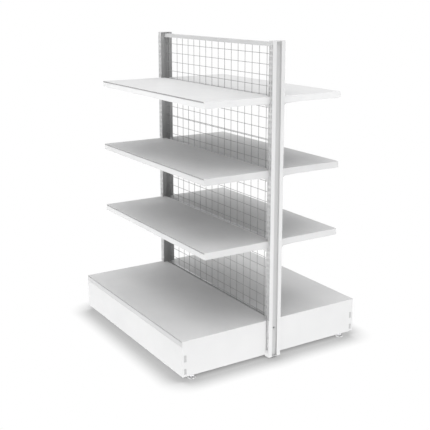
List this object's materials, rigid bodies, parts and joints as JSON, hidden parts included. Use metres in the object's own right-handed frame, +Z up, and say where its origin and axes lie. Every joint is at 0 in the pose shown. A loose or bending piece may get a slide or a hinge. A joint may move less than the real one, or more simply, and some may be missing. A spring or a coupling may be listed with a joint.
{
  "type": "gondola shelving",
  "caption": "Free-standing double-sided shop shelving bay with slotted uprights, a wire mesh back, hook-on shelves and a kickplated base.",
  "frame": {"origin": "centre of the footprint, on the floor", "axes": "+X along the bay from one upright to the other, +Y across it towards the back, +Z up"},
  "size_m": [1.036, 0.964, 1.455],
  "materials": {
    "upright": "semi-gloss powder coat",
    "cap": "matt moulded plastic",
    "plug": "matt moulded plastic",
    "rail": "semi-gloss powder coat",
    "mesh": "semi-gloss powder coat",
    "shelf": "semi-gloss powder coat",
    "deck": "semi-gloss powder coat",
    "plinth": "semi-gloss powder coat",
    "bracket": "semi-gloss powder coat",
    "leg": "semi-gloss powder coat",
    "zinc": "zinc plated",
    "pad": "matt moulded plastic"
  },
  "bodies": {
    "frame": {"upright_left": "upright", "upright_cap_left": "cap", "upright_right": "upright", "upright_cap_right": "cap", "groove_plugs": "plug", "top_rail": "rail", "bottom_rail": "rail", "rail_screws": "zinc", "mesh_low": "mesh", "mesh_mid": "mesh", "mesh_top": "mesh", "leg_front_left": "leg", "end_panel_front_left": "plinth", "leg_front_right": "leg", "end_panel_front_right": "plinth", "kickplate_front": "plinth", "leg_back_left": "leg", "end_panel_back_left": "plinth", "leg_back_right": "leg", "end_panel_back_right": "plinth", "kickplate_back": "plinth"},
    "deck_front_body": {"deck_front": "deck"},
    "deck_back_body": {"deck_back": "deck"},
    "shelf_front_low_body": {"shelf_front_low": "shelf", "bracket_front_low_left": "bracket", "bracket_front_low_right": "bracket"},
    "shelf_front_mid_body": {"shelf_front_mid": "shelf", "bracket_front_mid_left": "bracket", "bracket_front_mid_right": "bracket"},
    "shelf_front_top_body": {"shelf_front_top": "shelf", "bracket_front_top_left": "bracket", "bracket_front_top_right": "bracket"},
    "shelf_back_low_body": {"shelf_back_low": "shelf", "bracket_back_low_left": "bracket", "bracket_back_low_right": "bracket"},
    "shelf_back_mid_body": {"shelf_back_mid": "shelf", "bracket_back_mid_left": "bracket", "bracket_back_mid_right": "bracket"},
    "shelf_back_top_body": {"shelf_back_top": "shelf", "bracket_back_top_left": "bracket", "bracket_back_top_right": "bracket"},
    "pad_front_left_body": {"foot_pad_front_left": "pad"},
    "stud_front_left_body": {"foot_stud_front_left": "zinc"},
    "pad_front_right_body": {"foot_pad_front_right": "pad"},
    "stud_front_right_body": {"foot_stud_front_right": "zinc"},
    "pad_back_left_body": {"foot_pad_back_left": "pad"},
    "stud_back_left_body": {"foot_stud_back_left": "zinc"},
    "pad_back_right_body": {"foot_pad_back_right": "pad"},
    "stud_back_right_body": {"foot_stud_back_right": "zinc"},
    "pad_upright_left_body": {"foot_pad_upright_left": "pad"},
    "stud_upright_left_body": {"foot_stud_upright_left": "zinc"},
    "pad_upright_right_body": {"foot_pad_upright_right": "pad"},
    "stud_upright_right_body": {"foot_stud_upright_right": "zinc"}
  },
  "joints": [
    {"name": "deck_front_lift", "type": "slide", "parent": "frame", "child": "deck_front_body", "axis": [0, 0, 1], "range_m": [0, 0.03]},
    {"name": "deck_back_lift", "type": "slide", "parent": "frame", "child": "deck_back_body", "axis": [0, 0, 1], "range_m": [0, 0.03]},
    {"name": "shelf_front_low_lift", "type": "slide", "parent": "frame", "child": "shelf_front_low_body", "axis": [0, 0, 1], "range_m": [0, 0.0065]},
    {"name": "shelf_front_mid_lift", "type": "slide", "parent": "frame", "child": "shelf_front_mid_body", "axis": [0, 0, 1], "range_m": [0, 0.0065]},
    {"name": "shelf_front_top_lift", "type": "slide", "parent": "frame", "child": "shelf_front_top_body", "axis": [0, 0, 1], "range_m": [0, 0.0065]},
    {"name": "shelf_back_low_lift", "type": "slide", "parent": "frame", "child": "shelf_back_low_body", "axis": [0, 0, 1], "range_m": [0, 0.0065]},
    {"name": "shelf_back_mid_lift", "type": "slide", "parent": "frame", "child": "shelf_back_mid_body", "axis": [0, 0, 1], "range_m": [0, 0.0065]},
    {"name": "shelf_back_top_lift", "type": "slide", "parent": "frame", "child": "shelf_back_top_body", "axis": [0, 0, 1], "range_m": [0, 0.0065]},
    {"name": "foot_front_left_height", "type": "slide", "parent": "frame", "child": "pad_front_left_body", "axis": [0, 0, -1], "range_m": [0, 0.015]},
    {"name": "foot_front_left_screw", "type": "hinge", "parent": "pad_front_left_body", "child": "stud_front_left_body", "pos_m": [-0.4775, -0.422, 0.02], "axis": [0, 0, -1], "range_deg": [0, 3600]},
    {"name": "foot_front_right_height", "type": "slide", "parent": "frame", "child": "pad_front_right_body", "axis": [0, 0, -1], "range_m": [0, 0.015]},
    {"name": "foot_front_right_screw", "type": "hinge", "parent": "pad_front_right_body", "child": "stud_front_right_body", "pos_m": [0.4775, -0.422, 0.02], "axis": [0, 0, -1], "range_deg": [0, 3600]},
    {"name": "foot_back_left_height", "type": "slide", "parent": "frame", "child": "pad_back_left_body", "axis": [0, 0, -1], "range_m": [0, 0.015]},
    {"name": "foot_back_left_screw", "type": "hinge", "parent": "pad_back_left_body", "child": "stud_back_left_body", "pos_m": [-0.4775, 0.422, 0.02], "axis": [0, 0, -1], "range_deg": [0, 3600]},
    {"name": "foot_back_right_height", "type": "slide", "parent": "frame", "child": "pad_back_right_body", "axis": [0, 0, -1], "range_m": [0, 0.015]},
    {"name": "foot_back_right_screw", "type": "hinge", "parent": "pad_back_right_body", "child": "stud_back_right_body", "pos_m": [0.4775, 0.422, 0.02], "axis": [0, 0, -1], "range_deg": [0, 3600]},
    {"name": "foot_upright_left_height", "type": "slide", "parent": "frame", "child": "pad_upright_left_body", "axis": [0, 0, -1], "range_m": [0, 0.015]},
    {"name": "foot_upright_left_screw", "type": "hinge", "parent": "pad_upright_left_body", "child": "stud_upright_left_body", "pos_m": [-0.5, 0, 0.02], "axis": [0, 0, -1], "range_deg": [0, 3600]},
    {"name": "foot_upright_right_height", "type": "slide", "parent": "frame", "child": "pad_upright_right_body", "axis": [0, 0, -1], "range_m": [0, 0.015]},
    {"name": "foot_upright_right_screw", "type": "hinge", "parent": "pad_upright_right_body", "child": "stud_upright_right_body", "pos_m": [0.5, 0, 0.02], "axis": [0, 0, -1], "range_deg": [0, 3600]}
  ],
  "couplings": [
    {"joint": "foot_front_left_screw", "follows": "foot_front_left_height", "rad_per_m": 4188.8},
    {"joint": "foot_front_right_screw", "follows": "foot_front_right_height", "rad_per_m": 4188.8},
    {"joint": "foot_back_left_screw", "follows": "foot_back_left_height", "rad_per_m": 4188.8},
    {"joint": "foot_back_right_screw", "follows": "foot_back_right_height", "rad_per_m": 4188.8},
    {"joint": "foot_upright_left_screw", "follows": "foot_upright_left_height", "rad_per_m": 4188.8},
    {"joint": "foot_upright_right_screw", "follows": "foot_upright_right_height", "rad_per_m": 4188.8}
  ]
}
